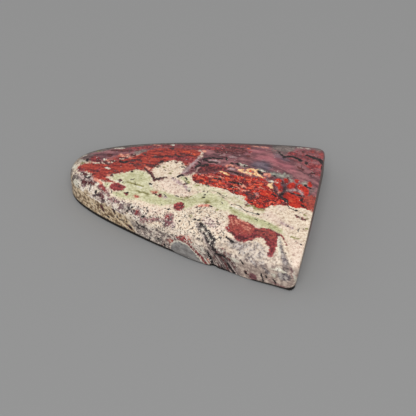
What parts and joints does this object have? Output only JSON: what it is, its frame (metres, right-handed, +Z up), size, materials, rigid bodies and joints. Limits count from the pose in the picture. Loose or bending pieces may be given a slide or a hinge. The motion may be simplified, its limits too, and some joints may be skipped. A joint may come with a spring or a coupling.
{
  "type": "moss agate cabochon",
  "caption": "Polished bullet-shaped cabochon of red moss agate with a flat back, upright girdle, low dome and one straight end.",
  "frame": {"origin": "middle of the box's underside, on the flat back", "axes": "+X from the tip towards the straight end, along the length; +Z up out of the dome, the thickness"},
  "size_m": [0.0452, 0.0314, 0.007],
  "materials": {
    "polished_agate": "polished"
  },
  "bodies": {
    "root": {"stone": "polished_agate"}
  },
  "joints": []
}
